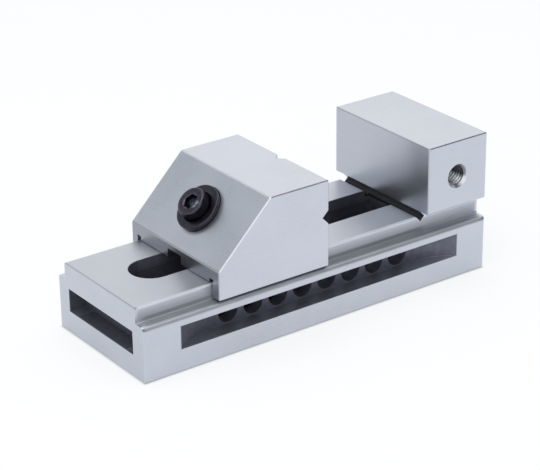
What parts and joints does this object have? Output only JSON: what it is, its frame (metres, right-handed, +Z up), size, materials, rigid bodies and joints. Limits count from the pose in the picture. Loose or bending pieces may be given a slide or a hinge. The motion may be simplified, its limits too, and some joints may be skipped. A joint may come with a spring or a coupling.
{
  "type": "precision vise",
  "caption": "Ground steel tool vise with a fixed jaw and a slanted-back sliding jaw, which one socket screw pulls forward and down against a row of side notches.",
  "frame": {"origin": "centre of the base's bottom face, on the surface the vise stands on", "axes": "+X along the vise from the open end to the fixed jaw, +Y to the far side of the picture, +Z up"},
  "size_m": [0.175, 0.063, 0.063],
  "materials": {
    "body_steel": "fine ground hardened steel",
    "jaw_steel": "fine ground hardened steel",
    "washer_black": "black oxide, satin",
    "screw_black": "black oxide, satin",
    "nut_steel": "hardened, dark turned steel",
    "spring_steel": "drawn spring wire"
  },
  "bodies": {
    "base": {"vise_body": "body_steel"},
    "jaw": {"moving_jaw": "jaw_steel"},
    "seat": {"seat_washer": "washer_black", "nut_spring": "spring_steel"},
    "screw": {"clamp_screw": "screw_black"},
    "nut": {"cross_nut": "nut_steel"}
  },
  "joints": [
    {"name": "jaw_slide", "type": "slide", "parent": "base", "child": "jaw", "axis": [1, 0, 0], "range_m": [-0.0325, 0.0522]},
    {"name": "screw_lean", "type": "hinge", "parent": "jaw", "child": "seat", "pos_m": [-0.04492, 0, 0.05723], "axis": [0, 1, 0], "range_deg": [-0.8, 2]},
    {"name": "screw_turn", "type": "hinge", "parent": "seat", "child": "screw", "pos_m": [-0.04492, 0, 0.05723], "axis": [0.6898, 0, -0.724], "range_deg": [0, 1081]},
    {"name": "nut_travel", "type": "slide", "parent": "seat", "child": "nut", "axis": [-0.6898, 0, 0.724], "range_m": [0, 0.00375], "deforming": ["nut_spring"]}
  ],
  "couplings": [
    {"joint": "screw_turn", "follows": "nut_travel", "rad_per_m": 5026.5}
  ]
}
